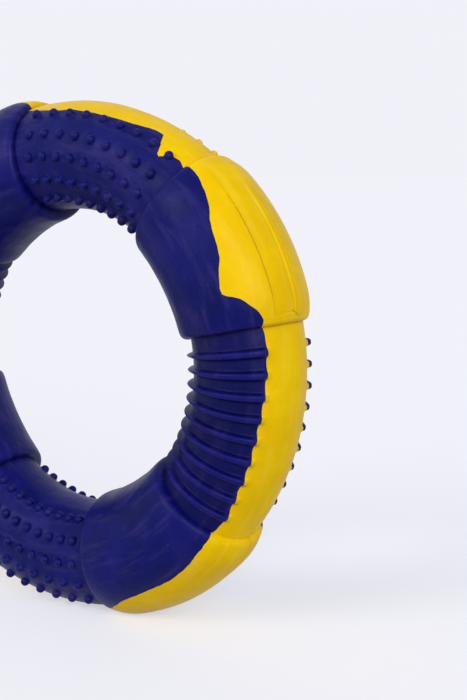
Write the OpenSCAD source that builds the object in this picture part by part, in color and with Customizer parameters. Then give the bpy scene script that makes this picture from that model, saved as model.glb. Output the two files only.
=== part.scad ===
// Rubber chew ring that stands on its rim, moulded in two colours.
// Four smooth grips alternate with two ribbed and two nubbed sections.
// A tread of the second colour is let into the outer rim all the way round.

/* [Ring] */
// Diameter of the circle that the tube's centre line follows
ring_d = 114; // [100:1:140]
// Diameter of the tube at the smooth grips
grip_d = 36.8; // [35:0.2:42]
// Diameter of the tube at the ribbed and nubbed sections
tube_d = 30.4; // [27:0.2:32]
// Angle round the ring that each smooth grip takes
grip_arc = 40; // [36:1:46]

/* [Shoulders] */
// Length over which the end of a grip rounds off
shoulder_length = 7.5; // [4:0.5:9]
// Radius of the lip at the end of a shoulder
lip_r = 1.8; // [1:0.1:2.2]

/* [Ribs] */
// Number of ribs on each ribbed section
rib_count = 9; // [5:1:11]
// Height of a rib above the tube
rib_height = 1.7; // [1:0.1:3]
// Width of a rib where it leaves the tube
rib_width = 2.4; // [1.8:0.1:3.2]
// Width of a rib's flat crest
rib_crest_width = 0.9; // [0.5:0.1:1.2]
// Bevel on each side of the crest
rib_bevel = 0.3; // [0.1:0.05:0.3]
// Angle round the tube, from the outer rim, at which a rib ends
rib_end_angle = 48; // [40:1:60]

/* [Nubs] */
// Number of nubs in each row
nub_count = 9; // [5:1:11]
// Number of rows on each side of the outer rim
nub_rows = 5; // [3:1:5]
// Diameter of a nub
nub_d = 2.6; // [1.6:0.1:3.4]
// Angle round the tube, from the outer rim, of the first row
nub_first_angle = 44; // [38:1:50]
// Angle round the tube from one row to the next
nub_row_angle = 24; // [18:1:26]

/* [Tread] */
// Thickness of the tread at the ribbed and nubbed sections
tread_depth = 3; // [2:0.1:5]
// Depth of the bare panel in the tread
panel_depth = 0.4; // [0.2:0.05:1]
// Distance from each end of its grip to the panel
panel_margin = 5; // [4:0.5:9]

/* [Seat] */
// Depth of the flats on which the ring stands
seat_depth = 0.5; // [0.3:0.1:1]

/* [Hidden] */
$fn = 128;

body_blue = [0.10, 0.11, 0.36];
tread_yellow = [0.95, 0.80, 0.03];

ring_r = ring_d / 2;
grip_r = grip_d / 2;
tube_r = tube_d / 2;
// A grip and the textured section after it take a quarter of the ring
pair_arc = 360 / 4;
textured_arc = pair_arc - grip_arc;
// One overrun serves all cuts
overrun = 2 * rib_height;

// The end of a grip is a slice of a ball on the centre line, closed by a rounded lip
shoulder_angle = shoulder_length / ring_r * 180 / PI;
ball_y = ring_r * sin(shoulder_angle);
ball_x = ring_r * cos(shoulder_angle);
lip_centre_r = sqrt(pow(grip_r - lip_r, 2) - pow(ball_y - lip_r, 2));
// The lip runs out of the ball at this angle to the ball's skin
lip_crossing_angle = 15;
lip_end_angle = 90 - lip_crossing_angle - asin((ball_y - lip_r) / (grip_r - lip_r));
lip_steps = 4;
// The tube starts a little before the ball's middle, and the ball ends inside the tube
tube_start_share = 0.8;
ball_end_share = 0.9;
tube_start_angle = tube_start_share * shoulder_angle;
ball_end_angle = ball_end_share * shoulder_angle;

// The ring stands on the rim of the bottom section and on the lip beside it, so the angle
// of that lip below the ring's centre follows from the radii of the two
floor_r = ring_r + tube_r - seat_depth;
lip_arm = ball_x + lip_centre_r;
first_seam = -90 + acos((ring_r + tube_r - lip_r) / norm([lip_arm, lip_r]))
    - atan2(lip_r, lip_arm);

rib_half = rib_width / 2;
rib_crest_half = rib_crest_width / 2;
rib_shoulder_half = rib_crest_half + rib_bevel;
rib_top_r = tube_r + rib_height;
rib_root_r = tube_r - rib_height / 2;
// The rib's sides run on straight to its root inside the tube
rib_side_slope = (rib_half - rib_shoulder_half) / (rib_height - rib_bevel);
rib_root_half = rib_half + rib_side_slope * (tube_r - rib_root_r);

// Angle by which the nubs of the top and of the bottom section lie off the section's middle
nub_field_shifts = [-1, 2];

// Edge of the tread along a section, on the front and on the back of the ring:
// [share of the section's arc, share of a right angle from the outer rim]
front_edge_shares = [
    [[0, 0.34], [0.07, 0.41], [0.16, 0.5], [0.36, 0.555], [0.6, 0.54], [0.86, 0.555], [1, 0.55]],
    [[0, 0.52], [0.12, 0.49], [0.22, 0.52], [0.38, 0.5], [0.56, 0.5], [0.7, 0.47], [0.84, 0.44],
        [1, 0.43]],
    [[0, 0.46], [0.06, 0.46], [0.14, 0.56], [0.21, 0.66], [0.25, 0.77], [0.34, 0.73],
        [0.48, 0.65], [0.6, 0.61], [0.7, 0.54], [0.8, 0.47], [0.92, 0.42], [1, 0.4]],
    [[0, 0.45], [0.06, 0.41], [0.108, 0.42], [0.12, 0.56], [0.14, 0.53], [0.16, 0.47],
        [0.19, 0.35], [0.208, 0.265], [0.25, 0.27], [0.31, 0.315], [0.37, 0.355], [0.5, 0.385],
        [0.64, 0.39], [0.78, 0.395], [0.85, 0.38], [0.94, 0.325], [1, 0.27]],
    [[0, 0.15], [0.2, 0.1], [0.4, 0.08], [0.6, 0.08], [0.8, 0.12], [1, 0.18]],
    [[0, 0.22], [0.2, 0.33], [0.4, 0.4], [0.6, 0.41], [0.8, 0.39], [1, 0.38]],
    [[0, 0.38], [0.3, 0.4], [0.55, 0.37], [0.8, 0.3], [1, 0.24]],
    [[0, 0.24], [0.15, 0.25], [0.3, 0.26], [0.45, 0.24], [0.6, 0.22], [0.8, 0.2], [1, 0.17]]
];
back_edge_shares = [
    [[0, 0.46], [0.3, 0.54], [0.7, 0.5], [1, 0.37]],
    [[0, 0.5], [0.2, 0.52], [0.6, 0.49], [1, 0.46]],
    [[0, 0.5], [0.4, 0.58], [0.8, 0.54], [1, 0.56]],
    [[0, 0.57], [0.2, 0.62], [0.5, 0.55], [0.8, 0.4], [1, 0.38]],
    [[0, 0.4], [0.4, 0.5], [0.8, 0.58], [1, 0.55]],
    [[0, 0.48], [0.4, 0.46], [0.7, 0.5], [1, 0.45]],
    [[0, 0.5], [0.3, 0.6], [0.7, 0.52], [1, 0.4]],
    [[0, 0.38], [0.4, 0.36], [0.7, 0.4], [1, 0.44]]
];
rim_steps = 4;

// The panel lies on the front of the upper right tread, between two shares of a right angle
panel_edge_shares = [0.08, 0.31];

// Stands the ring up and cuts it flat where it meets the ground
module stand() {
    translate([0, 0, floor_r])
    rotate([90, 0, 0])
    difference() {
        children();
        translate([-ring_r, -floor_r - overrun, -grip_r])
        cube([2 * ring_r, overrun, 2 * grip_r]);
    }
}

// A plain stretch of tube
module tube_stretch(start, arc, r) {
    rotate([0, 0, start])
    rotate_extrude(angle = arc)
    translate([ring_r, 0])
    circle(r = r);
}

// Outline that rounds off the ball's edge, turned about the line through the ball's centre
module lip_outline() {
    arc_points = [
        for (i = [0:lip_steps])
        let (a = lip_end_angle * i / lip_steps)
        [lip_centre_r + lip_r * sin(a), lip_r - lip_r * cos(a)]
    ];
    end_point = arc_points[lip_steps] + grip_r * [cos(lip_end_angle), sin(lip_end_angle)];
    top_y = end_point[1] + grip_r;
    polygon(concat([[0, 0]], arc_points, [end_point, [end_point[0], top_y], [0, top_y]]));
}

// The rounded start of a grip, whose end plane lies at angle zero
module shoulder() {
    intersection() {
        translate([ball_x, ball_y, 0])
        rotate([90, 0, 0])
        sphere(r = grip_r);
        translate([ball_x, 0, 0])
        rotate([-90, 0, 0])
        rotate_extrude()
        lip_outline();
        rotate([0, 0, ball_end_angle])
        translate([ring_r - 2 * grip_r, -4 * grip_r, -2 * grip_r])
        cube([4 * grip_r, 4 * grip_r, 4 * grip_r]);
    }
}

// A smooth grip that starts at angle zero
module grip() {
    shoulder();
    tube_stretch(tube_start_angle, grip_arc - 2 * tube_start_angle, grip_r);
    rotate([0, 0, grip_arc])
    mirror([0, 1, 0])
    shoulder();
}

// One side of a rib's outline, from root to crest: [across the rib, from the tube's axis]
rib_side = [
    [rib_root_half, rib_root_r],
    [rib_shoulder_half, rib_top_r - rib_bevel],
    [rib_crest_half, rib_top_r]
];

// Whole outline of a rib, turned about the tube's axis
module rib_outline() {
    polygon(concat(
        [for (p = rib_side) [p[1], p[0]]],
        [for (i = [len(rib_side) - 1:-1:0]) [rib_side[i][1], -rib_side[i][0]]]
    ));
}

// Half outline, turned about the rib's middle to round its end
module rib_end_outline() {
    polygon(concat([[0, rib_root_r]], rib_side, [[0, rib_top_r]]));
}

// One rib round the inner side of the tube, with rounded ends
module rib() {
    translate([ring_r, 0, 0]) {
        rotate([90, 0, 0])
        rotate_extrude(angle = 360 - 2 * rib_end_angle, start = rib_end_angle)
        rib_outline();
        for (side = [-1, 1])
        rotate([0, -side * rib_end_angle, 0])
        rotate([0, 90, 0])
        rotate_extrude(angle = 180, start = -90 * side)
        rib_end_outline();
    }
}

// A ribbed section that starts at angle zero
module ribbed_section() {
    tube_stretch(0, textured_arc, tube_r);
    for (i = [1:rib_count])
    rotate([0, 0, textured_arc * i / (rib_count + 1)])
    rib();
}

// A nubbed section that starts at angle zero
module nubbed_section(shift) {
    tube_stretch(0, textured_arc, tube_r);
    for (i = [1:nub_count], row = [0:nub_rows - 1], side = [-1, 1])
    rotate([0, 0, textured_arc * i / (nub_count + 1) + shift])
    translate([ring_r, 0, 0])
    rotate([0, -side * (nub_first_angle + nub_row_angle * row), 0])
    translate([tube_r, 0, 0])
    rotate([0, 90, 0])
    sphere(d = nub_d);
}

// The sections in order round the ring, from the lip that touches the ground
module section(i) {
    if (i % 2 == 0) grip();
    else if (i % 4 == 1) ribbed_section();
    else nubbed_section(nub_field_shifts[floor(i / 4)]);
}

function section_arc(i) = i % 2 == 0 ? grip_arc : textured_arc;
function section_start(i) = first_seam + pair_arc * floor(i / 2) + (i % 2) * grip_arc;
function section_r(i) = i % 2 == 0 ? grip_r : tube_r;

// A point by its angle round the ring, angle round the tube and distance from the tube's axis
function tube_point(ring_angle, tube_angle, r) = [
    (ring_r + r * cos(tube_angle)) * cos(ring_angle),
    (ring_r + r * cos(tube_angle)) * sin(ring_angle),
    r * sin(tube_angle)
];

// One cross-section of the tread's zone: along its floor, then back above the rim
function zone_ring(i, share) =
    let (
        front = 90 * lookup(share, front_edge_shares[i]),
        back = -90 * lookup(share, back_edge_shares[i]),
        ring_angle = section_arc(i) * share
    )
    concat(
        [for (k = [0:rim_steps]) tube_point(ring_angle, front + (back - front) * k / rim_steps,
            tube_r - tread_depth)],
        [for (k = [rim_steps:-1:0]) tube_point(ring_angle, front + (back - front) * k / rim_steps,
            section_r(i) + overrun)]
    );

// The zone that the tread fills in a section, a little longer than the section
module tread_zone(i) {
    past = overrun / ring_r;
    inner_shares = [for (p = front_edge_shares[i]) if (p[0] > 0 && p[0] < 1) p[0]];
    shares = concat([-past], inner_shares, [1 + past]);
    rings = [for (share = shares) zone_ring(i, share)];
    side_count = 2 * (rim_steps + 1);
    last = len(shares) - 1;
    polyhedron(
        points = [for (ring = rings, p = ring) p],
        faces = concat(
            [for (k = [1:side_count - 2]) [0, k + 1, k]],
            [for (k = [1:side_count - 2]) [for (v = [0, k, k + 1]) last * side_count + v]],
            [for (j = [0:last - 1], k = [0:side_count - 1])
                [j * side_count + k, j * side_count + (k + 1) % side_count, (j + 1) * side_count + k]],
            [for (j = [0:last - 1], k = [0:side_count - 1])
                [j * side_count + (k + 1) % side_count, (j + 1) * side_count + (k + 1) % side_count,
                    (j + 1) * side_count + k]]
        )
    );
}

// The bare panel's recess
module panel_recess() {
    margin_angle = panel_margin / ring_r * 180 / PI;
    near_angle = 90 * panel_edge_shares[0];
    far_angle = 90 * panel_edge_shares[1];
    reach = 2 * grip_r;
    rotate([0, 0, margin_angle])
    rotate_extrude(angle = grip_arc - 2 * margin_angle)
    translate([ring_r, 0])
    intersection() {
        difference() {
            circle(r = grip_r + overrun);
            circle(r = grip_r - panel_depth);
        }
        polygon([
            [0, 0],
            [reach * cos(near_angle), reach * sin(near_angle)],
            [reach * cos(far_angle), reach * sin(far_angle)]
        ]);
    }
}

// The body of a section, in the first colour
module body_part(i) {
    color(body_blue)
    stand()
    rotate([0, 0, section_start(i)])
    difference() {
        section(i);
        tread_zone(i);
    }
}

// The tread of a section, in the second colour
module tread_part(i) {
    color(tread_yellow)
    stand()
    rotate([0, 0, section_start(i)])
    intersection() {
        section(i);
        tread_zone(i);
    }
}

module grip_lower_right() { body_part(0); }
module ribs_right() { body_part(1); }
module grip_upper_right() { body_part(2); }
module nubs_top() { body_part(3); }
module grip_upper_left() { body_part(4); }
module ribs_left() { body_part(5); }
module grip_lower_left() { body_part(6); }
module nubs_bottom() { body_part(7); }
module tread_lower_right() { tread_part(0); }
module tread_right() { tread_part(1); }
module tread_upper_right() {
    difference() {
        tread_part(2);
        stand()
        rotate([0, 0, section_start(2)])
        color(tread_yellow)
        panel_recess();
    }
}
module tread_top() { tread_part(3); }
module tread_upper_left() { tread_part(4); }
module tread_left() { tread_part(5); }
module tread_lower_left() { tread_part(6); }
module tread_bottom() { tread_part(7); }

grip_lower_right();
ribs_right();
grip_upper_right();
nubs_top();
grip_upper_left();
ribs_left();
grip_lower_left();
nubs_bottom();
tread_lower_right();
tread_right();
tread_upper_right();
tread_top();
tread_upper_left();
tread_left();
tread_lower_left();
tread_bottom();
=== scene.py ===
"""Looks of the rubber chew ring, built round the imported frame.

A point of the ring is given by its angle round the ring, its angle round the tube from the
outer rim towards the front, and its distance from the tube's centre line in millimetres.
"""

import math

import bpy
import numpy as np
from mathutils import Matrix, Vector


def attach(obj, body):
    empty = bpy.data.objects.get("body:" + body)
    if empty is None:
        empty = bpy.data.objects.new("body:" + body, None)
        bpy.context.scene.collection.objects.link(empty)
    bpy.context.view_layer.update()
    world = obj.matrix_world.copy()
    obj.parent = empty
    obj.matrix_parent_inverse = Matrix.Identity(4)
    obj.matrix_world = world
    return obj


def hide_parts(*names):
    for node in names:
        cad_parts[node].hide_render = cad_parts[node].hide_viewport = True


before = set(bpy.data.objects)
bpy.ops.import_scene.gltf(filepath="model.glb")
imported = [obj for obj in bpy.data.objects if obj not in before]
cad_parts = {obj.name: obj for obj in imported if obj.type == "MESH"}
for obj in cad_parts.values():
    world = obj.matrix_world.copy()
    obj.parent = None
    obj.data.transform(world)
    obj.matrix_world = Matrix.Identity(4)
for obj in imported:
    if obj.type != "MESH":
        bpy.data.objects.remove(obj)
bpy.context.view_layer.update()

MM = 0.001
# Millimetres: the ring's centre line, the grips, the textured tube, the tread's floor, the seat
RING_R = 57.0
GRIP_R = 18.4
TUBE_R = 15.2
TREAD_FLOOR_R = 12.2
SEAT_DEPTH = 0.5
CENTRE_HEIGHT = RING_R + TUBE_R - SEAT_DEPTH
# Degrees round the ring: where the first section starts, and the lengths of the sections
FIRST_SEAM = -78.86
GRIP_ARC = 40.0
TEXTURED_ARC = 50.0
QUARTER = 90.0

BODY_NODES = (
    "grip_lower_right", "ribs_right", "grip_upper_right", "nubs_top",
    "grip_upper_left", "ribs_left", "grip_lower_left", "nubs_bottom",
)
TREAD_NODES = (
    "tread_lower_right", "tread_right", "tread_upper_right", "tread_top",
    "tread_upper_left", "tread_left", "tread_lower_left", "tread_bottom",
)

# Edge of the tread on the front, by section: (degrees along the section, degrees round the tube)
FRONT_EDGES = (
    ((0, 32), (2.5, 36.5), (3.8, 39.8), (4.8, 42.4), (6.3, 45), (8.5, 48), (12.2, 50), (17.9, 50.3),
     (21.5, 49.2), (25.5, 48.3), (30.7, 48.9), (35, 50.3), (40, 49.5)),
    ((0, 47.6), (1, 46.8), (5, 45), (11, 46.8), (18, 46.2), (24, 46), (28, 45.4), (33, 43.6),
     (38, 41.8), (43, 40), (47.8, 39), (50, 40.2)),
    ((0, 41.8), (1.4, 40.3), (3.3, 42.8), (5.1, 49.2), (7, 55.6), (8.3, 64.6), (8.8, 68.8),
     (10.2, 69.1), (12.8, 66.7), (15.3, 63.3), (17.8, 59.5), (20.5, 57.6), (23.3, 55.9),
     (25.9, 52.5), (28.3, 48), (31, 44.3), (33.9, 41.5), (37, 38.7), (38.5, 38.4), (40, 40.4)),
    ((0, 40.8), (1.5, 38.4), (3.1, 36.5), (3.9, 38.7), (4.5, 37.7), (5.2, 37.2), (5.6, 39),
     (5.8, 43), (5.9, 49.5), (6.2, 51.4), (6.7, 49.5), (8, 42.6), (8.8, 35), (9.5, 32.3),
     (10.4, 23.9), (12.7, 24.6), (15.5, 28.2), (18.3, 31.9), (21.6, 33.3), (24.8, 34.7),
     (28.3, 34.9), (31.8, 35.1), (35.5, 33.9), (38.8, 35.6), (42.6, 34.2), (47, 29.5), (50, 25.5)),
    ((0, 19), (2.5, 14.3), (10, 10), (20, 8), (30, 10), (40, 17)),
    ((0, 20), (10, 30), (20, 36), (30, 37), (40, 35), (50, 34)),
    ((0, 34), (12, 36), (22, 33), (32, 27), (40, 22)),
    ((0, 22), (8, 23), (15, 23.5), (23, 22), (30, 20), (40, 17), (46, 13), (50, 10)),
)
# The same on the back, in degrees round the tube the other way
BACK_EDGES = (
    ((0, 41), (6, 46), (14, 50), (24, 47), (32, 41), (37, 35), (40, 34)),
    ((0, 40), (5, 40.8), (10, 40.2), (16, 40.6), (22, 40), (30, 39.5), (45, 39), (50, 40)),
    ((0, 45), (8, 50), (17, 54), (26, 50), (34, 47), (40, 50)),
    ((0, 50), (5, 53), (12, 57), (20, 53), (27, 51), (33, 44), (37, 36), (41, 33), (46, 35),
     (50, 35)),
    ((0, 36), (9, 41), (18, 47), (28, 53), (35, 52), (40, 49)),
    ((0, 44), (7, 42), (15, 45), (24, 42), (33, 46), (42, 43), (50, 41)),
    ((0, 44), (8, 50), (15, 54), (24, 50), (33, 43), (40, 37)),
    ((0, 35), (10, 33), (20, 31), (30, 36), (40, 34), (50, 40)),
)
# How far the edge wavers, in degrees round the tube: the waves' turns round the ring, and phases
EDGE_WAVER = 0.35
EDGE_WAVES = ((61, 0.4), (97, 2.0), (143, 4.1))
# How far the body's colour runs out over the tread along a rib, in degrees, and how wide in mm
EDGE_BULGE = 1.3
EDGE_BULGE_WIDTH = 1.3

# Radius of a grip by the distance from its end, in millimetres
SHOULDER = (
    (0, 16.82), (1.5, 17.33), (3, 17.72), (4.5, 17.99), (7.5, 18.22), (11, 18.32),
    (14, 18.37), (19.9, 18.4),
)
# The ends of a grip are straight, so that their middle lies inside the ring's centre line
LEAN = 0.5
LEAN_LENGTH = 7.5
# Corner radius at the two ends of each grip, in the order of the sections, and the length over
# which the corner goes over into the shoulder
LIP_RADII = ((2.0, 2.2), (2.3, 1.7), (1.9, 1.7), (2.4, 1.7))
LIP_STEPS = 7
LIP_BLEND = 3
# The paler part of that lip, by wear and a painted highlight: its distance from the end and its
# width, in millimetres
RUB_AND_SHEEN_AT = 1.2
RUB_AND_SHEEN_WIDTH = 1.1
# Where the end face of a grip ends inside the tube, in millimetres
HIDDEN_R = 14.6
# How much painted shade darkens the seams between sections, how far up a grip's end and along
# the textured tube in millimetres, and the grip whose far seam gets only faint painted shade
# and how dark that one is
SEAM_SHADE = 0.65
SEAM_UP = 0.35
SEAM_ALONG = 0.4
FAINT_SHADE_SEAM = 0
FAINT_SEAM_SHADE = 0.1
# Millimetres: the step along a grip, and the length over which its surface gets uneven
GRIP_STEP = 0.6
UNEVEN_LENGTH = 2.5
# A grip's columns run straight across its end and turn towards the ring's middle farther in: where
# that starts and over what length, in millimetres from the end
EVEN_FROM = 4
EVEN_LENGTH = 12
# The step between rows of points round the tube, in degrees, on grips and ribs
ROW_STEP = 3.6

# Height of a rib by the distance from its middle, at the ring's centre line, and of a nub by the
# distance from its axis
RIB_PROFILE = (
    (0, 1.62), (0.3, 1.62), (0.5, 1.58), (0.65, 1.45), (0.76, 1.2), (0.85, 0.88), (0.94, 0.56),
    (1.04, 0.27), (1.16, 0.1), (1.3, 0.02), (1.5, 0),
)
# The same on the inner side of the ring, where the ribs are sharper
RIB_POINT = (
    (0, 1.64), (0.12, 1.6), (0.3, 1.38), (0.5, 0.98), (0.7, 0.56), (0.88, 0.25), (1.04, 0.09),
    (1.2, 0.02), (1.5, 0),
)
NUB_PROFILE = (
    (0, 1.56), (0.4, 1.5), (0.76, 1.33), (1.02, 1.06), (1.18, 0.74), (1.27, 0.42), (1.35, 0.17),
    (1.47, 0.03), (1.65, 0),
)
# Place of the first rib or nub and the step to the next, in degrees along the section
PATTERN = {1: (5.45, 4.93), 3: (4.87, 5.0), 5: (5.0, 5.0), 7: (6.1, 4.965)}
PATTERN_COUNT = 9
# Angle round the tube at which each rib's crest ends, on the front and on the back
RIB_TIPS = {
    1: ((48.1, 49.0, 48.3, 48.1, 48.5, 47.4, 45.7, 44.9, 44.1),
        (44.8, 45.4, 45.0, 44.6, 45.1, 44.7, 44.5, 44.4, 44.6)),
    5: ((46.0, 47.0, 46.5, 47.4, 46.8, 47.9, 47.2, 46.4, 47.0),
        (47.2, 46.3, 47.0, 46.1, 46.8, 47.5, 46.6, 47.1, 46.2)),
}
# Rows of points round those tips, in degrees round the tube: first, past the last, and step
TIP_ROWS = (36.9, 51.4, 0.8)
# A rib gets wider with the distance from the ring's middle, by this power of it
RIB_WIDENING = 0.9
# How much longer than a half circle the end of a rib is, and how much the ribs vary in height
TIP_STRETCH = 1.08
RIB_SPREAD = 0.03
# The ribs lie a little askew: degrees round the ring by which their ends are out of the middle, and
# over how many degrees from a seam this grows
RIB_SKEW = 0.35
SKEW_GROWTH = 3
# Where the ribs start to get sharper round the tube and over how many degrees
SHARP_FROM = 95
SHARP_LENGTH = 50
# The low run-out of a rib on the tread past its end, in millimetres
RUN_OUT_HEIGHT = 0.95
RUN_OUT_WIDTH = 0.8
RUN_OUT_LENGTH = 2.7
# The painted shade in the crevice beside a run-out: its distance from the rib's middle and its
# width in millimetres, the first rib without one, and over how many ribs before that it
# gets fainter
CREVICE_AT = 1.05
CREVICE_WIDTH = 0.3
CREVICE_END = 6
CREVICE_FADE = 3
# How dark the painted shade is in the crevices, the valleys between ribs and at the foot of a
# rib, over how many degrees the valleys get dark, and the distance of the foot from the rib's
# middle and its width
CREVICE_SHADE = 0.85
VALLEY_SHADE = 0.45
VALLEY_FADE = 5
RIB_FOOT_SHADE = 0.3
RIB_FOOT = (1.15, 0.2)
# Rows of nubs, in degrees round the tube
NUB_ROWS = (44, 68, 92, 116, 140)
# How far the rows of a section lie off those angles, from the outer rim inwards
ROW_SHIFTS = {3: (-2.7, -0.6, -1, 0.1, 1.7), 7: (-0.2, -0.4, 0.1, 0.5, 1.5)}
# Degrees round the tube by which the rows turn inwards with each degree along the section
ROW_TURN = {3: 0, 7: 0.12}
NUB_ROW_PITCH = 24.0
# How much the nubs vary, in degrees along the section and as a share of their height
NUB_SPREAD = 0.03
# Painted shade at the foot of a nub: how dark, its distance from the nub's axis and its width
NUB_FOOT_SHADE = 0.12
NUB_FOOT = (1.42, 0.15)
# Steps of the mesh across a nub's cell, the step between field and seam in degrees, and how far a
# textured section runs on under the grips in degrees
CELL_STEPS = 8
PLAIN_STEP = 0.8
OVERLAP = 0.4
# Steps of the mesh across the tread between the first rows of nubs, and how far the rows of points
# on the inner side are shifted, in degrees
TREAD_STEPS = 20
INNER_SHIFT = 0.2

# The bare panel on the upper right grip: (low, high) round the tube and along the grip, and how
# wide its edges are: the long ones in millimetres, the near one in degrees, the far one, which
# fades out, in millimetres
PANEL_SECTION = 2
PANEL_TUBE = (5.6, 28.8)
PANEL_RING = (2.3, 36.5)
PANEL_DEPTH = 0.28
PANEL_EDGE = 0.4
PANEL_NEAR_EDGE = 0.8
PANEL_FADE = 12
# Rows of points beside its long edges, in degrees, and how far from the grip's ends the columns of
# points are closer together, in millimetres
PANEL_ROWS = (-1.5, -1, -0.5, 0, 0.5, 1)
PANEL_COLUMNS_TO = 3.4
# The fine groove at the foot of the panel's front edge, darkened by painted shade: how far
# inside that edge it lies and how far past the panel's near end it starts, in degrees, over how
# many degrees it grows, and over how many millimetres it fades
GROOVE_DEPTH = 0.16
GROOVE_WIDTH = 0.2
GROOVE_SHADE = 0.5
GROOVE_INSET = 0.9
GROOVE_FROM = 1
GROOVE_GROWTH = 6
GROOVE_FADE = 14
# The groove across the grip's end, darkened by painted shade, drawn as (degrees round the tube,
# degrees along the grip), and over how many degrees it fades at both ends
END_LINE = ((-6, 2.0), (-2.5, 1.5), (1.5, 1.3), (5, 1.8), (8.5, 2.4), (20, 2.25), (30, 2.0))
END_LINE_DEPTH = 0.14
END_LINE_SHADE = 0.35
END_LINE_FADE = 2
# Where painted shade darkens that line most, in degrees round the tube
NICK_SHADE_AT = 5.5
NICK_SHADE_WIDTH = 3
NICK_SHADE = 0.9

random = np.random.default_rng(5)
# Slow waves of the surface: turns round the ring and round the tube, and phase
WAVES = [
    (int(a), int(b), c)
    for a, b, c in zip(
        random.integers(3, 19, 12), random.integers(-5, 6, 12), random.uniform(0, 6.28, 12)
    )
]
WAVE_DEPTH = 0.14
# The two halves of the mould leave a fine ridge, and the back lies a little lower beside it
RIDGE_HEIGHT = 0.1
RIDGE_WIDTH = 0.22
HALVES_STEP = 0.2
HALVES_STEP_WIDTH = 0.45
HALVES_REACH = 7.0
# Painted shade beside the ridge on the grips: its place in degrees, its width in millimetres
RIDGE_LINE_SHADE = 0.25
RIDGE_LINE_AT = -0.6
RIDGE_LINE_WIDTH = 0.3
# Rows of points beside that ridge, in degrees round the tube, the same between the nubs, and the
# least step between two rows
RIDGE_ROWS = (0, 0.4, 0.9, 1.6, 2.4)
RIDGE_ROWS_NUBBED = (0, 0.4, 0.9, 1.6, 2.3)
LEAST_STEP = 0.3
# Columns of points beside the end of a textured section, in degrees along it
SEAM_COLUMNS = (0, 0.2, 0.45, 0.8, 1.3)


def smooth(knots, x):
    """A curve through the knots without overshoot, level past its ends."""
    kx, ky = np.array(knots, float).T
    step = np.diff(kx)
    slope = np.diff(ky) / step
    tangent = np.zeros(len(kx))
    same = slope[:-1] * slope[1:] > 0
    tangent[1:-1][same] = (2 * slope[:-1] * slope[1:])[same] / (slope[:-1] + slope[1:])[same]
    tangent[0], tangent[-1] = slope[0], slope[-1]
    x = np.clip(x, kx[0], kx[-1])
    k = np.clip(np.searchsorted(kx, x) - 1, 0, len(step) - 1)
    t = (x - kx[k]) / step[k]
    return (
        ky[k] * (1 + 2 * t) * (1 - t) ** 2
        + ky[k + 1] * t * t * (3 - 2 * t)
        + step[k] * (tangent[k] * t * (1 - t) ** 2 - tangent[k + 1] * t * t * (1 - t))
    )


def ease(x):
    """A smooth step from 0 to 1."""
    x = np.clip(x, 0, 1)
    return x * x * (3 - 2 * x)


def bell(x, width, power=2):
    """A smooth bump, 1 where x is 0."""
    return np.exp(-((x / width) ** power))


def section_start(i):
    return FIRST_SEAM + QUARTER * (i // 2) + (i % 2) * GRIP_ARC


def place(theta, phi, r):
    """Points of the ring in the row frame, in metres, flattened where they would pass the floor."""
    t, p = np.radians(theta), np.radians(phi)
    reach = RING_R + r * np.cos(p)
    height = np.maximum(reach * np.sin(t) + CENTRE_HEIGHT, 0)
    return np.stack([reach * np.cos(t), -r * np.sin(p), height], axis=-1) * MM


def relief(theta, phi):
    """What the moulding leaves on every surface: slow waves, and the ridge between its halves."""
    total = sum(np.sin(np.radians(a * theta + b * phi) + c) for a, b, c in WAVES) / len(WAVES)
    s = np.radians(phi) * TUBE_R
    ridge = RIDGE_HEIGHT * bell(s, RIDGE_WIDTH)
    step = HALVES_STEP * ease(-s / HALVES_STEP_WIDTH) * bell(s, HALVES_REACH)
    return (total - 1) * WAVE_DEPTH / 2 + ridge - RIDGE_HEIGHT - step


def tube_rows(step, extra=()):
    """Angles round the tube, closer together along the mould's ridge and at the extra ones."""
    rows = set(np.round(np.arange(-180, 180 - step / 2, step), 4))
    rows |= {s * row for s in (-1, 1) for row in RIDGE_ROWS} | set(extra)
    kept = []
    for row in sorted(rows):
        wanted = row in extra or abs(row) <= RIDGE_ROWS[-1]
        if kept and row - kept[-1] < LEAST_STEP:
            if wanted:
                kept[-1] = row
        else:
            kept.append(row)
    return np.array(kept)


def grid_faces(index):
    """Quads of a grid of vertex numbers whose rows close round the tube."""
    turned = np.roll(index, -1, axis=1)
    return np.stack([index[:-1], index[1:], turned[1:], turned[:-1]], -1).reshape(-1, 4)


def skin_of(theta, phi, r, crest, u, shade):
    """One line for each point: its place, how far it stands up, its share of the length, and how
    much painted shade darkens the colour there, where shade falls in a crevice."""
    parts = np.broadcast_arrays(theta, phi, r, crest, u, shade)
    return np.stack([p.ravel() for p in parts], -1).astype(float)


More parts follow.
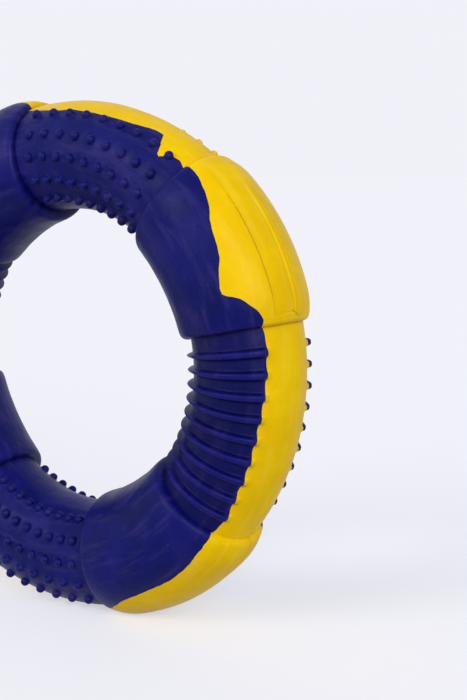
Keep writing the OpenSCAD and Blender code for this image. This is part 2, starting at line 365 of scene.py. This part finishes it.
def grip_skin(i):
    """A grip's surface: slightly barrelled, with rounded shoulders down to the tube."""
    start = section_start(i)
    half = math.radians(GRIP_ARC / 2) * RING_R
    extra = ()
    if i == PANEL_SECTION:
        extra = tuple(edge + d for edge in PANEL_TUBE for d in PANEL_ROWS)
    rows = tube_rows(ROW_STEP, extra)
    sides = []
    for corner in LIP_RADII[i // 2]:
        end_r = float(smooth(SHOULDER, corner))
        slope = math.atan2(float(smooth(SHOULDER, corner + 0.5)) - end_r, 0.5)
        turn = np.linspace(0, math.pi / 2 - slope, LIP_STEPS)
        lip_d = corner - corner * np.cos(turn)
        lip_r = end_r - corner + corner * np.sin(turn)
        count = int((half - lip_d[-1]) / GRIP_STEP)
        d = np.linspace(lip_d[-1], half, count + 1)[1:]
        if i == PANEL_SECTION:
            # Two more columns before each of those near the end
            near = d[d < PANEL_COLUMNS_TO]
            d = np.sort(np.concatenate([d, near - 0.2, near - 0.4]))
        blend = 1 - ease((d - lip_d[-1]) / LIP_BLEND)
        shape = smooth(SHOULDER, d + (corner - lip_d[-1]) * blend)
        sides.append((np.concatenate([[0], lip_d, d]), np.concatenate([[HIDDEN_R], lip_r, shape])))
    d = np.concatenate([sides[0][0], sides[1][0][-2::-1]])[:, None]
    r = np.concatenate([sides[0][1], sides[1][1][-2::-1]])[:, None]
    far = np.concatenate([np.zeros(len(sides[0][0])), np.ones(len(sides[1][0]) - 1)])[:, None]
    phi = rows[None, :]
    lean = LEAN * (1 - ease(d / LEAN_LENGTH)) * np.cos(np.radians(phi))
    even = ease((d - EVEN_FROM) / EVEN_LENGTH)
    spread = RING_R / (RING_R + r * np.cos(np.radians(phi)))
    offset = np.degrees(d / RING_R * (spread + even * (1 - spread)))
    theta = start + np.where(far > 0, GRIP_ARC - offset, offset)
    u = np.linspace(0, 1, len(d))[:, None]
    r = r + relief(theta, phi) * ease(d / UNEVEN_LENGTH) - lean
    # Painted shade on the grip's end face where it meets the textured tube
    depth = np.where((i == FAINT_SHADE_SEAM) & (far > 0), FAINT_SEAM_SHADE, SEAM_SHADE)
    shade = depth * np.exp(-np.maximum(r - TUBE_R, 0) / SEAM_UP) * (d < 1)
    if i == PANEL_SECTION:
        along = theta - start
        across_mm = np.minimum(phi - PANEL_TUBE[0], PANEL_TUBE[1] - phi) * math.radians(GRIP_R)
        far_mm = (PANEL_RING[1] - along) * math.radians(RING_R)
        near_edge = ease((along - PANEL_RING[0]) / PANEL_NEAR_EDGE + 0.5)
        r = r - PANEL_DEPTH * ease(across_mm / PANEL_EDGE + 0.5) * near_edge * ease(
            far_mm / PANEL_FADE)
        foot = (PANEL_TUBE[1] - GROOVE_INSET - phi) * math.radians(GRIP_R)
        grown = ease((along - PANEL_RING[0] - GROOVE_FROM) / GROOVE_GROWTH)
        groove = bell(foot, GROOVE_WIDTH) * (grown * ease(far_mm / GROOVE_FADE))
        line = (along - smooth(END_LINE, phi)) * math.radians(RING_R + GRIP_R)
        length = ease((phi - END_LINE[0][0]) / END_LINE_FADE) * ease(
            (END_LINE[-1][0] - phi) / END_LINE_FADE)
        mark = bell(line, GROOVE_WIDTH) * length
        r = r - GROOVE_DEPTH * groove - END_LINE_DEPTH * mark
        # Painted shade in the groove and along the end line, darkest at the nick
        nick_darkness = bell(phi - NICK_SHADE_AT, NICK_SHADE_WIDTH) * mark
        shade = shade + GROOVE_SHADE * groove + END_LINE_SHADE * mark + NICK_SHADE * nick_darkness
    # Painted shade beside the mould's ridge
    ridge_line = bell(np.radians(phi - RIDGE_LINE_AT) * GRIP_R, RIDGE_LINE_WIDTH)
    shade = shade + RIDGE_LINE_SHADE * ridge_line
    skin = skin_of(theta, phi, r, bell(d - RUB_AND_SHEEN_AT, RUB_AND_SHEEN_WIDTH), u, shade)
    return skin, grid_faces(np.arange(theta.size).reshape(theta.shape))


def seam_shade(i, along, phi):
    """Painted shade: the dark line beside the grips at both ends of a textured section."""
    arm = RING_R + TUBE_R * np.cos(np.radians(phi))
    gap = np.radians(np.minimum(along, TEXTURED_ARC - along)) * arm
    faint_seam = (i == FAINT_SHADE_SEAM + 1) & (along < TEXTURED_ARC / 2)
    return np.where(faint_seam, FAINT_SEAM_SHADE, SEAM_SHADE) * bell(np.maximum(gap, 0), SEAM_ALONG)


def rib_places(i):
    first, step = PATTERN[i]
    return first + step * np.arange(PATTERN_COUNT)


def rib_skin(i):
    """A ribbed section: ribs run round the inner side and end in rounded tips near the tread."""
    start = section_start(i)
    front_tips, back_tips = (np.array(t) for t in RIB_TIPS[i])
    tips = [side * row for side in (-1, 1) for row in np.arange(*TIP_ROWS)]
    rows = tube_rows(ROW_STEP, tuple(np.round(tips, 4)))
    reaches = np.array([p[0] for p in RIB_PROFILE])
    local = np.concatenate([-reaches[:0:-1], reaches])
    phi = rows[None, :]
    arm = RING_R + TUBE_R * np.cos(np.radians(phi))
    widen = (arm / RING_R) ** RIB_WIDENING
    places = rib_places(i)
    half_pitch = PATTERN[i][1] / 2
    beside = (reaches[-1] * widen + np.radians(half_pitch) * arm) / 2
    last = PATTERN_COUNT - 1
    near_seam = (-OVERLAP, *SEAM_COLUMNS)
    # Each column: the rib it goes with, its angle round the ring, and how far it lies from there
    columns = [(0, start + x, 0) for x in near_seam]
    for k, middle in enumerate(start + places):
        columns += [(k, middle - half_pitch, 0), (k, middle, -beside)]
        columns += [(k, middle, x * widen) for x in local]
        columns += [(k, middle, beside)]
    columns += [(last, start + places[-1] + half_pitch, 0)]
    columns += [(last, start + TEXTURED_ARC - x, 0) for x in near_seam[::-1]]
    theta = np.array([(middle + np.degrees(x / arm))[0] for k, middle, x in columns])
    number = np.array([k for k, middle, x in columns])[:, None]
    across = np.radians(theta - start - places[number]) * arm / widen
    end_gap = np.minimum(theta - start, start + TEXTURED_ARC - theta)
    theta = theta - RIB_SKEW * np.sin(np.radians(phi)) * ease(end_gap / SKEW_GROWTH)
    tip = np.where(phi > 0, front_tips[number], back_tips[number])
    past_tip = np.maximum(tip - np.abs(phi), 0) * math.radians(TUBE_R)
    off = np.hypot(across, past_tip / TIP_STRETCH)
    sharp = ease((np.abs(phi) - SHARP_FROM) / SHARP_LENGTH)
    height = smooth(RIB_PROFILE, off) * (1 - sharp) + smooth(RIB_POINT, off) * sharp
    # Painted shade in the valleys between ribs, at their foot and beside the run-outs
    valley = ease((np.abs(phi) - tip) / VALLEY_FADE + 0.3) * (1 - height / RIB_PROFILE[0][1])
    foot = bell(off - RIB_FOOT[0], RIB_FOOT[1]) * ease(1 - past_tip)
    run_out_length = ease(1.5 - 1.5 * past_tip / RUN_OUT_LENGTH)
    run_out = RUN_OUT_HEIGHT * bell(across, RUN_OUT_WIDTH, 4) * run_out_length
    height = np.maximum(height, run_out) * (1 + RIB_SPREAD * np.sin(number * 2.3 + i))
    r = TUBE_R + height + relief(theta, phi)
    u = np.linspace(0, 1, len(theta))[:, None]
    crevice = bell(across + CREVICE_AT, CREVICE_WIDTH) * ease(past_tip / CREVICE_WIDTH) * (
        run_out_length * ease((CREVICE_END - number) / CREVICE_FADE))
    shade = VALLEY_SHADE * valley + RIB_FOOT_SHADE * foot + CREVICE_SHADE * crevice
    shade = shade + seam_shade(i, theta - start, phi)
    skin = skin_of(theta, phi, r, height / RIB_PROFILE[0][1], u, shade)
    return skin, grid_faces(np.arange(theta.size).reshape(theta.shape))


def nub_skin(i):
    """A nubbed section: round each nub the grid turns into rings that follow its dome."""
    start = section_start(i)
    first, pitch = PATTERN[i]
    field = (first - pitch / 2, first + pitch * (PATTERN_COUNT - 0.5))
    near_seam, plain_from = np.array(SEAM_COLUMNS[:-1]), SEAM_COLUMNS[-1]
    count = 2 + int((field[0] - plain_from) / PLAIN_STEP)
    before = np.concatenate([near_seam, np.linspace(plain_from, field[0], count)[:-1]])
    cells = np.linspace(*field, PATTERN_COUNT * CELL_STEPS + 1)
    plain_to = TEXTURED_ARC - plain_from
    count = 2 + int((plain_to - field[1]) / PLAIN_STEP)
    after = np.linspace(field[1], plain_to, count)[1:]
    after = np.concatenate([after, TEXTURED_ARC - near_seam[::-1]])
    columns = start + np.concatenate([
        [-OVERLAP], before, cells, after, [TEXTURED_ARC + OVERLAP],
    ])
    half_rows = NUB_ROW_PITCH / 2
    row_step = NUB_ROW_PITCH / CELL_STEPS
    low, high = NUB_ROWS[0] - half_rows, NUB_ROWS[-1] + half_rows
    side_rows = np.linspace(low, high, len(NUB_ROWS) * CELL_STEPS + 1)
    inner_rows = np.arange(high + row_step, 360 - high - row_step, row_step) + INNER_SHIFT
    tread_rows = np.linspace(-low, low, TREAD_STEPS + 1)[1:-1]
    rows = np.concatenate([-side_rows[::-1], tread_rows, side_rows, inner_rows])
    rows = rows[np.abs(rows) > RIDGE_ROWS_NUBBED[-1] + LEAST_STEP]
    ridge = [s * row for s in (-1, 1) for row in RIDGE_ROWS_NUBBED]
    rows = np.concatenate([rows, np.unique(ridge)])
    rows = np.sort(np.where(rows >= 180, rows - 360, rows))
    theta, phi = np.meshgrid(columns, rows, indexing="ij")
    index = np.arange(theta.size).reshape(theta.shape)
    u = (theta - columns[0]) / (columns[-1] - columns[0])
    shade = seam_shade(i, theta - start, phi)
    skin = [skin_of(theta, phi, TUBE_R + relief(theta, phi), 0, u, shade)]
    faces = grid_faces(index)
    keep = np.ones(index.shape, bool)
    keep[-1] = False
    new_faces = []
    count = theta.size
    ring_n = 4 * CELL_STEPS
    turn = np.arange(ring_n) * 2 * math.pi / ring_n - 3 * math.pi / 4
    radii = np.array([p[0] for p in NUB_PROFILE[:0:-1]])
    rows_here = [
        (side * row, side * shift)
        for side in (-1, 1) for row, shift in zip(NUB_ROWS, ROW_SHIFTS[i])
    ]
    for k in range(PATTERN_COUNT):
        c0 = 1 + len(before) + k * CELL_STEPS
        for row, shift in rows_here:
            r0 = int(np.argmin(np.abs(rows - (row - half_rows))))
            keep[c0:c0 + CELL_STEPS, r0:r0 + CELL_STEPS] = False
            a = index[c0:c0 + CELL_STEPS + 1, r0:r0 + CELL_STEPS + 1]
            border = np.concatenate([a[:-1, 0], a[-1, :-1], a[:0:-1, -1], a[0, :0:-1]])
            middle = start + first + pitch * k + random.normal(0, NUB_SPREAD)
            tall = 1 + random.normal(0, NUB_SPREAD)
            x, y = radii[:, None] * np.cos(turn), radii[:, None] * np.sin(turn)
            turned_in = math.copysign(ROW_TURN[i], row) * (start + TEXTURED_ARC / 2 - middle)
            mid_row = row + shift + turned_in
            p = mid_row + np.degrees(y / TUBE_R)
            arm = RING_R + TUBE_R * np.cos(np.radians(p))
            t = middle + np.degrees(x / arm)
            h = smooth(NUB_PROFILE, radii)[:, None] * tall
            ring_u = (t - columns[0]) / (columns[-1] - columns[0])
            # Painted shade round the foot of the nub
            foot = NUB_FOOT_SHADE * bell(radii[:, None] - NUB_FOOT[0], NUB_FOOT[1])
            skin.append(
                skin_of(t, p, TUBE_R + h + relief(t, p), h / NUB_PROFILE[0][1], ring_u, foot)
            )
            top = TUBE_R + NUB_PROFILE[0][1] * tall + relief(middle, mid_row)
            mid_u = (middle - columns[0]) / (columns[-1] - columns[0])
            skin.append(skin_of(middle, mid_row, top, 1, mid_u, 0))
            rings = np.vstack([border, count + np.arange(len(radii) * ring_n).reshape(-1, ring_n)])
            turned = np.roll(rings, -1, axis=1)
            new_faces.append(
                np.stack([rings[:-1], turned[:-1], turned[1:], rings[1:]], -1).reshape(-1, 4)
            )
            inner = rings[-1]
            centre = count + len(radii) * ring_n
            new_faces.append(np.stack([
                np.full(ring_n // 2, centre), inner[0::2], inner[1::2], np.roll(inner, -2)[0::2],
            ], -1))
            count = centre + 1
    faces = faces[keep[:-1].ravel()]
    return np.vstack(skin), np.vstack([faces, *new_faces])


def edge_offsets(i, skin):
    """Distance of each point outside the tread's two edges, in degrees round the tube."""
    along = skin[:, 0] - section_start(i)
    waver = sum(np.sin(np.radians(turns * skin[:, 0]) + phase) for turns, phase in EDGE_WAVES)
    front = smooth(FRONT_EDGES[i], along) + EDGE_WAVER * waver / len(EDGE_WAVES)
    back = smooth(BACK_EDGES[i], along) - EDGE_WAVER * waver / len(EDGE_WAVES)
    if i in RIB_TIPS:
        off = np.abs(along[:, None] - rib_places(i)).min(axis=1) * math.radians(RING_R)
        bulge = EDGE_BULGE * bell(off, EDGE_BULGE_WIDTH, 4)
        front, back = front - bulge, back - bulge / 2
    return np.maximum(skin[:, 1] - front, -back - skin[:, 1])


def cut(skin, quads, side):
    """Splits the quads along side = 0, and gives the new skin and the faces below and above."""
    side = side.copy()
    near = 0.08
    a, b = quads, np.roll(quads, -1, axis=1)
    with np.errstate(divide="ignore", invalid="ignore"):
        share = side[a] / (side[a] - side[b])
    crossing = side[a] * side[b] < 0
    side[a[crossing & (share < near)]] = 0
    side[b[crossing & (share > 1 - near)]] = 0
    values = side[quads]
    low = (values <= 0).all(1) & (values < 0).any(1)
    high = (values >= 0).all(1)
    below, above = quads[low].tolist(), quads[high].tolist()
    added, new_points = {}, []
    for quad in quads[~(low | high)].tolist():
        parts = ([], [])
        for v, w in zip(quad, quad[1:] + quad[:1]):
            if side[v] <= 0:
                parts[0].append(v)
            if side[v] >= 0:
                parts[1].append(v)
            if side[v] * side[w] < 0:
                key = (min(v, w), max(v, w))
                if key not in added:
                    t = side[key[0]] / (side[key[0]] - side[key[1]])
                    added[key] = len(skin) + len(new_points)
                    new_points.append(skin[key[0]] * (1 - t) + skin[key[1]] * t)
                parts[0].append(added[key])
                parts[1].append(added[key])
        below.append(parts[0])
        above.append(parts[1])
    below = [f for f in below if len(f) > 2]
    above = [f for f in above if len(f) > 2]
    return np.vstack([skin, *new_points]), below, above


def closed(skin, faces):
    """Closes an open patch of skin with walls down to the tread's floor, a floor and two ends."""
    forward = {(v, w) for f in faces for v, w in zip(f, f[1:] + f[:1])}
    left = {v: w for v, w in forward if (w, v) not in forward}
    u = skin[:, 4]
    loops = []
    while left:
        v = next(iter(left))
        loop = []
        while v in left:
            loop.append(v)
            v = left.pop(v)
        loops.append(loop)
    loop = max(loops, key=len)

    def on_end(v, w, value):
        return abs(u[v] - value) < 1e-9 and abs(u[w] - value) < 1e-9

    n = len(loop)
    kinds = []
    for k in range(n):
        v, w = loop[k], loop[(k + 1) % n]
        kinds.append("start" if on_end(v, w, 0) else "end" if on_end(v, w, 1) else "edge")
    first = next(k for k in range(n) if kinds[k] == "start" and kinds[k - 1] != "start")
    order = [(first + k) % n for k in range(n)]
    chains = []
    for k in order:
        if not chains or chains[-1][0] != kinds[k]:
            chains.append((kinds[k], [loop[k]]))
        chains[-1][1].append(loop[(k + 1) % n])
    if [c[0] for c in chains] != ["start", "edge", "end", "edge"]:
        raise ValueError("the edge of a piece has an unexpected form")
    extra, floor_of, out = [], {}, [list(f) for f in faces]

    def floor(v):
        if v not in floor_of:
            floor_of[v] = len(skin) + len(extra)
            extra.append([skin[v, 0], skin[v, 1], TREAD_FLOOR_R, 0, u[v], 0])
        return floor_of[v]

    for kind, chain in chains:
        if kind == "edge":
            out += [[w, v, floor(v), floor(w)] for v, w in zip(chain, chain[1:])]
        else:
            out.append([floor(chain[0]), floor(chain[-1])] + chain[::-1])
    one = [floor(v) for v in chains[1][1]]
    two = [floor(v) for v in chains[3][1]][::-1]
    everything = np.vstack([skin, extra])
    i = j = 0
    while i < len(one) - 1 or j < len(two) - 1:
        step_one = j == len(two) - 1 or (
            i < len(one) - 1 and everything[one[i + 1], 4] <= everything[two[j + 1], 4]
        )
        if step_one:
            out.append([one[i + 1], one[i], two[j]])
            i += 1
        else:
            out.append([one[i], two[j], two[j + 1]])
            j += 1
    return everything, out


# Degrees between two faces from which on the edge between them is shaded sharp
SHARP_ANGLE = 48


def make_piece(name, node, skin, faces, distance, material):
    used = sorted({v for f in faces for v in f})
    number = {v: k for k, v in enumerate(used)}
    faces = [[number[v] for v in f] for f in faces]
    skin, distance = skin[used], distance[used]
    mesh = bpy.data.meshes.new(name)
    mesh.from_pydata(place(skin[:, 0], skin[:, 1], skin[:, 2]).tolist(), [], faces)
    mesh.update()
    mesh.shade_smooth()
    mesh.set_sharp_from_angle(angle=math.radians(SHARP_ANGLE))
    for key, values in (("crest", skin[:, 3]), ("edge", distance), ("shade", skin[:, 5])):
        attribute = mesh.attributes.new(key, "FLOAT", "POINT")
        attribute.data.foreach_set("value", np.clip(values, 0, 9).astype(np.float32))
    # Coordinates that run with the ring, in millimetres, for marks drawn out along it
    around = np.radians(skin[:, 1])
    flow = np.stack(
        [TUBE_R * np.cos(around), TUBE_R * np.sin(around), np.radians(skin[:, 0]) * RING_R], -1
    )
    attribute = mesh.attributes.new("flow", "FLOAT_VECTOR", "POINT")
    attribute.data.foreach_set("vector", flow.ravel().astype(np.float32))
    mesh.materials.append(material)
    piece = bpy.data.objects.new(name, mesh)
    bpy.context.scene.collection.objects.link(piece)
    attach(piece, "root")
    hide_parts(node)
    return piece


# Places of the colour sockets of a Mix node
MIX_A, MIX_B, MIX_RESULT = 6, 7, 2


def node(tree, kind, **sockets):
    """A new node with some of its inputs set, named with _ for a space."""
    made = tree.nodes.new(kind)
    for key, value in sockets.items():
        made.inputs[key.replace("_", " ")].default_value = value
    return made


def mixed(tree, share, a, b):
    """A colour that goes from a to b with the share, where each is a colour or an output."""
    made = tree.nodes.new("ShaderNodeMix")
    made.data_type = "RGBA"
    tree.links.new(share, made.inputs["Factor"])
    for key, value in ((MIX_A, a), (MIX_B, b)):
        if isinstance(value, tuple):
            made.inputs[key].default_value = (*value, 1)
        else:
            tree.links.new(value, made.inputs[key])
    return made.outputs[MIX_RESULT]


# Scales of the rubber's noises, in turns per metre, but for the marks in turns per millimetre
BLOTCH_SCALE = 75
RUB_AND_SHEEN_SCALE = 420
SPECK_SCALE = 1500
PATCH_SCALE = 160
LUMP_SCALE = 380
GRAIN_SCALE = 2600
MARK_SCALE = 0.42
# How much finer the marks are across the ring than along it
MARK_STRETCH = (1, 1, 0.16)
# Shares of the marks, the crests made paler by wear and a painted highlight, the specks and the
# darker line along the colour edge
MARK_SHARE = 0.8
RUB_AND_SHEEN_SHARE = 0.9
SPECK_SHARE = 0.5
EDGE_LINE_SHARE = 0.45
EDGE_LINE_WIDTH = 0.14
# Where the blotches go from dark to pale, and where marks and specks start and are full, in the
# noises' values
BLOTCH_LEVELS = (0.3, 0.5, 0.72)
MARK_LEVELS = (0.5, 0.82)
SPECK_LEVELS = (0.71, 0.76)
# The crests get paler, by wear and a painted highlight, with this power of their height, and
# painted shade gets at most this dark
RUB_AND_SHEEN_POWER = 3
DARKEST = 0.9
ROUGHNESS_SPREAD = 0.3
GRAIN_SHARE = 0.35
BUMP_STRENGTH = 0.35
BUMP_DISTANCE = 0.0004


def rubber(name, shade_colour, dark, plain, pale, scuff, roughness, specular):
    """Moulded rubber: blotches, marks drawn out along the ring, specks, crests made paler by wear
    and a painted highlight, and painted shade in crevices.
    """
    material = bpy.data.materials.new(name)
    material.use_nodes = True
    tree = material.node_tree
    shader = tree.nodes["Principled BSDF"]
    link = tree.links.new
    where = tree.nodes.new("ShaderNodeTexCoord").outputs["Object"]

    def attribute(key, output):
        made = tree.nodes.new("ShaderNodeAttribute")
        made.attribute_name = key
        return made.outputs[output]

    def noise(scale, detail, rough=0.5, place=where):
        made = node(tree, "ShaderNodeTexNoise", Scale=scale, Detail=detail, Roughness=rough)
        link(place, made.inputs["Vector"])
        return made.outputs["Fac"]

    def ramp(value, stops):
        made = tree.nodes.new("ShaderNodeValToRGB")
        elements = made.color_ramp.elements
        for element, (at, colour) in zip(elements, (stops[0], stops[-1])):
            element.position, element.color = at, (*colour, 1)
        for at, colour in stops[1:-1]:
            elements.new(at).color = (*colour, 1)
        link(value, made.inputs["Fac"])
        return made.outputs["Color"]

    def maths(operation, a, b):
        made = tree.nodes.new("ShaderNodeMath")
        made.operation = operation
        for socket, value in zip(made.inputs, (a, b)):
            if isinstance(value, (int, float)):
                socket.default_value = value
            else:
                link(value, socket)
        return made.outputs[0]

    def above(value, low, high):
        made = node(tree, "ShaderNodeMapRange", From_Min=low, From_Max=high)
        link(value, made.inputs["Value"])
        return made.outputs["Result"]

    drawn = tree.nodes.new("ShaderNodeVectorMath")
    drawn.operation = "MULTIPLY"
    link(attribute("flow", "Vector"), drawn.inputs[0])
    drawn.inputs[1].default_value = MARK_STRETCH
    blotches = ramp(noise(BLOTCH_SCALE, 4, 0.6), list(zip(BLOTCH_LEVELS, (dark, plain, pale))))
    marks = above(noise(MARK_SCALE, 5, 0.6, drawn.outputs["Vector"]), *MARK_LEVELS)
    colour = mixed(tree, maths("MULTIPLY", marks, MARK_SHARE), blotches, scuff)
    # Crests and lips paler by wear and by a painted highlight
    rub_and_sheen_noise = maths("MULTIPLY", noise(RUB_AND_SHEEN_SCALE, 3), RUB_AND_SHEEN_SHARE)
    rubbed_and_sheen = maths("MULTIPLY", maths("POWER", attribute("crest", "Fac"), RUB_AND_SHEEN_POWER), rub_and_sheen_noise)
    colour = mixed(tree, rubbed_and_sheen, colour, pale)
    specks = above(noise(SPECK_SCALE, 1), *SPECK_LEVELS)
    colour = mixed(tree, maths("MULTIPLY", specks, SPECK_SHARE), colour, scuff)
    near_edge = maths("LESS_THAN", attribute("edge", "Fac"), EDGE_LINE_WIDTH)
    colour = mixed(tree, maths("MULTIPLY", near_edge, EDGE_LINE_SHARE), colour, dark)
    # Painted shade darkens the colour in crevices, seams, valleys and beside the mould's ridge
    shade = maths("MINIMUM", attribute("shade", "Fac"), DARKEST)
    link(mixed(tree, shade, colour, shade_colour), shader.inputs["Base Color"])
    # The middle of a noise is 0.5, so that the roughness stays that of the rubber on average
    patches = maths("MULTIPLY", noise(PATCH_SCALE, 3), ROUGHNESS_SPREAD)
    link(maths("ADD", patches, roughness - ROUGHNESS_SPREAD / 2), shader.inputs["Roughness"])
    grain = maths("MULTIPLY", noise(GRAIN_SCALE, 2, 0.6), GRAIN_SHARE)
    height = maths("ADD", grain, noise(LUMP_SCALE, 4))
    bump = node(tree, "ShaderNodeBump", Strength=BUMP_STRENGTH, Distance=BUMP_DISTANCE)
    link(height, bump.inputs["Height"])
    link(bump.outputs["Normal"], shader.inputs["Normal"])
    shader.inputs["Specular IOR Level"].default_value = specular
    return material


blue = rubber(
    "blue_rubber", shade_colour=(0.0004, 0.001, 0.035), dark=(0.001, 0.0025, 0.08),
    plain=(0.002, 0.0045, 0.115), pale=(0.009, 0.009, 0.15), scuff=(0.036, 0.029, 0.17),
    roughness=0.4, specular=0.11,
)
yellow = rubber(
    "yellow_rubber", shade_colour=(0.48, 0.28, 0.0), dark=(0.86, 0.555, 0.0), plain=(0.9, 0.59, 0.0),
    pale=(0.98, 0.68, 0.002), scuff=(0.94, 0.66, 0.04), roughness=0.36, specular=0.06,
)

for i in range(8):
    skin, quads = (grip_skin if i % 2 == 0 else rib_skin if i % 4 == 1 else nub_skin)(i)
    skin, tread_faces, body_faces = cut(skin, quads, edge_offsets(i, skin))
    for faces, nodes, slot, material in (
        (body_faces, BODY_NODES, "body", blue), (tread_faces, TREAD_NODES, "tread", yellow),
    ):
        whole, whole_faces = closed(skin, faces)
        distance = np.abs(edge_offsets(i, whole)) * math.radians(TUBE_R)
        make_piece(nodes[i] + "_skin", nodes[i], whole, whole_faces, distance, material)

# The camera, placed by the photograph's perspective: its right, up and forward directions and its
# place, in the ring's own plane and axis, the place in radii of the centre line
VIEW_RIGHT = (0.8213, -0.0854, -0.5641)
VIEW_UP = (0.0273, 0.9935, -0.1107)
VIEW_AHEAD = (-0.5698, -0.0755, -0.8183)
VIEW_FROM = (4.907, 0.534, 5.741)
# The turn of that plane that sets the ring onto its seat
TURN = math.radians(84.5 + FIRST_SEAM)
LENS = 77.2
SENSOR = 36
camera_data = bpy.data.cameras.new("camera")
camera_data.lens = LENS
camera_data.sensor_width = SENSOR
camera_data.dof.use_dof = False
camera = bpy.data.objects.new("camera", camera_data)
bpy.context.scene.collection.objects.link(camera)
bpy.context.scene.camera = camera


def turned(x, y, z):
    """A direction of the view, (x, y) in the ring's plane and z along its axis, in the frame."""
    return Vector((
        x * math.cos(TURN) - y * math.sin(TURN), -z, x * math.sin(TURN) + y * math.cos(TURN),
    ))


right, up, back = turned(*VIEW_RIGHT), turned(*VIEW_UP), -turned(*VIEW_AHEAD)
at = turned(*VIEW_FROM) * RING_R * MM + Vector((0, 0, CENTRE_HEIGHT * MM))
camera.matrix_world = Matrix((
    (right.x, up.x, back.x, at.x), (right.y, up.y, back.y, at.y), (right.z, up.z, back.z, at.z),
    (0, 0, 0, 1),
))

# The studio. The wall's colour is the background's, too.
WALL = (0.875, 0.882, 0.942)
WALL_DIRECTION = (-0.644, 0.765, 0)
CEILING = (0.3, 0.3, 0.34)
CEILING_DIRECTION = (0, 0, 1)
ROOM = (0.42, 0.42, 0.46)
# How far a direction leans towards the wall or the ceiling where it starts, and where it is full
WALL_EDGE = (0.55, 0.9)
CEILING_EDGE = (0.3, 0.85)
# The floor as it throws light back, and as it is seen, partly by a glow that keeps its shadow faint
FLOOR_BOUNCE = (0.5, 0.5, 0.53)
FLOOR_SEEN = (0.52, 0.526, 0.526)
FLOOR_GLOW = (0.511, 0.523, 0.56)
FLOOR_HALF = 6.0
LAMP_COLOUR = (1, 0.95, 0.97)
# The lamps: each shines from a direction, with a strength and a width in degrees
LAMPS = (
    ("left", (-0.28, -0.83, 0.48), 1.08, 32),
    ("right", (0.74, -0.57, 0.37), 1.5, 36),
)


def seen(tree):
    """1 for what the camera sees, straight or in a reflection or through glass, otherwise 0."""
    path = tree.nodes.new("ShaderNodeLightPath")
    shown = path.outputs["Is Camera Ray"]
    for ray in ("Is Glossy Ray", "Is Transmission Ray"):
        either = node(tree, "ShaderNodeMath")
        either.operation = "MAXIMUM"
        tree.links.new(shown, either.inputs[0])
        tree.links.new(path.outputs[ray], either.inputs[1])
        shown = either.outputs["Value"]
    return shown


floor_mesh = bpy.data.meshes.new("floor")
corners = [(x * FLOOR_HALF, y * FLOOR_HALF, 0) for x, y in ((-1, -1), (1, -1), (1, 1), (-1, 1))]
floor_mesh.from_pydata(corners, [], [(0, 1, 2, 3)])
floor = bpy.data.objects.new("floor", floor_mesh)
bpy.context.scene.collection.objects.link(floor)
floor_material = bpy.data.materials.new("floor")
floor_material.use_nodes = True
tree = floor_material.node_tree
shader = tree.nodes["Principled BSDF"]
shown = seen(tree)
tree.links.new(mixed(tree, shown, FLOOR_BOUNCE, FLOOR_SEEN), shader.inputs["Base Color"])
tree.links.new(shown, shader.inputs["Emission Strength"])
shader.inputs["Emission Color"].default_value = (*FLOOR_GLOW, 1)
shader.inputs["Roughness"].default_value = 1
shader.inputs["Specular IOR Level"].default_value = 0
floor_mesh.materials.append(floor_material)

world = bpy.data.worlds.new("world")
bpy.context.scene.world = world
world.use_nodes = True
tree = world.node_tree
where = tree.nodes.new("ShaderNodeTexCoord").outputs["Generated"]


def spread(direction, low, high):
    """How far a direction of the surroundings leans towards the given one, from 0 to 1."""
    lean = tree.nodes.new("ShaderNodeVectorMath")
    lean.operation = "DOT_PRODUCT"
    tree.links.new(where, lean.inputs[0])
    lean.inputs[1].default_value = direction
    share = node(tree, "ShaderNodeMapRange", From_Min=low, From_Max=high)
    share.interpolation_type = "SMOOTHSTEP"
    tree.links.new(lean.outputs["Value"], share.inputs["Value"])
    return share.outputs["Result"]


# The light comes from a pale wall behind the ring, a dim ceiling and a dim room on the near side,
# and what is seen is as pale as the wall on every side
studio = mixed(tree, spread(WALL_DIRECTION, *WALL_EDGE), ROOM, WALL)
studio = mixed(tree, spread(CEILING_DIRECTION, *CEILING_EDGE), studio, CEILING)
studio = mixed(tree, seen(tree), studio, WALL)
tree.links.new(studio, tree.nodes["Background"].inputs["Color"])
tree.nodes["Background"].inputs["Strength"].default_value = 1

for name, source, energy, width in LAMPS:
    lamp = bpy.data.lights.new(name, "SUN")
    lamp.energy = energy
    lamp.color = LAMP_COLOUR
    lamp.angle = math.radians(width)
    holder = bpy.data.objects.new(name, lamp)
    bpy.context.scene.collection.objects.link(holder)
    holder.rotation_mode = "QUATERNION"
    holder.rotation_quaternion = (-Vector(source)).to_track_quat("-Z", "Y")

bpy.context.scene.view_settings.view_transform = "Standard"
